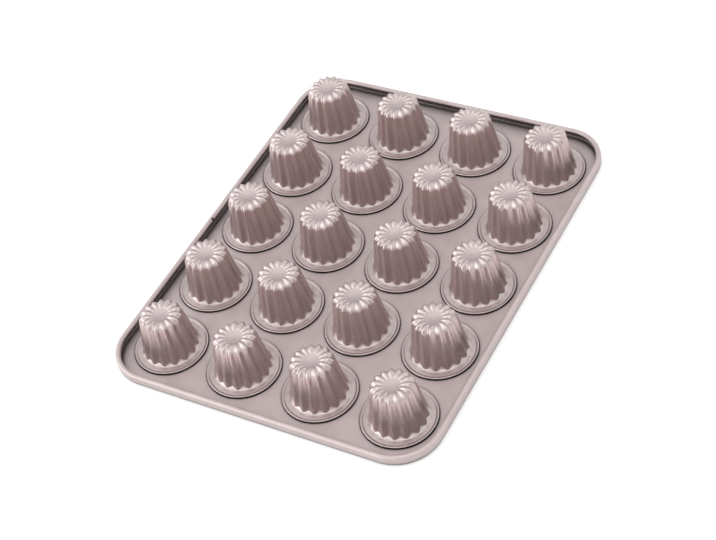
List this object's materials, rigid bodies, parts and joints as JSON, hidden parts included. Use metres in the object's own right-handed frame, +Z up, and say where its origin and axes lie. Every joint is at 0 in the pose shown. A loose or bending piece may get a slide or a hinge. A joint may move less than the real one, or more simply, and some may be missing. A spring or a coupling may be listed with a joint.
{
  "type": "canele pan",
  "caption": "Flat baking tray with round corners and a wired curled rim, and a grid of separate fluted canele cups crimped over its holes.",
  "frame": {"origin": "middle of the bounding box's bottom face, on the flat baking face", "axes": "+Z up through the closed ends of the cups, +Y along the long side from the front row to the back row, +X along the short side"},
  "size_m": [0.3134, 0.3992, 0.0439],
  "materials": {
    "coated_steel": "satin non-stick coating",
    "wire_steel": "bare drawn wire"
  },
  "bodies": {
    "root": {"tray": "coated_steel", "rim_wire": "wire_steel", "cup_r1_c1": "coated_steel", "cup_r1_c2": "coated_steel", "cup_r1_c3": "coated_steel", "cup_r1_c4": "coated_steel", "cup_r2_c1": "coated_steel", "cup_r2_c2": "coated_steel", "cup_r2_c3": "coated_steel", "cup_r2_c4": "coated_steel", "cup_r3_c1": "coated_steel", "cup_r3_c2": "coated_steel", "cup_r3_c3": "coated_steel", "cup_r3_c4": "coated_steel", "cup_r4_c1": "coated_steel", "cup_r4_c2": "coated_steel", "cup_r4_c3": "coated_steel", "cup_r4_c4": "coated_steel", "cup_r5_c1": "coated_steel", "cup_r5_c2": "coated_steel", "cup_r5_c3": "coated_steel", "cup_r5_c4": "coated_steel"}
  },
  "joints": []
}
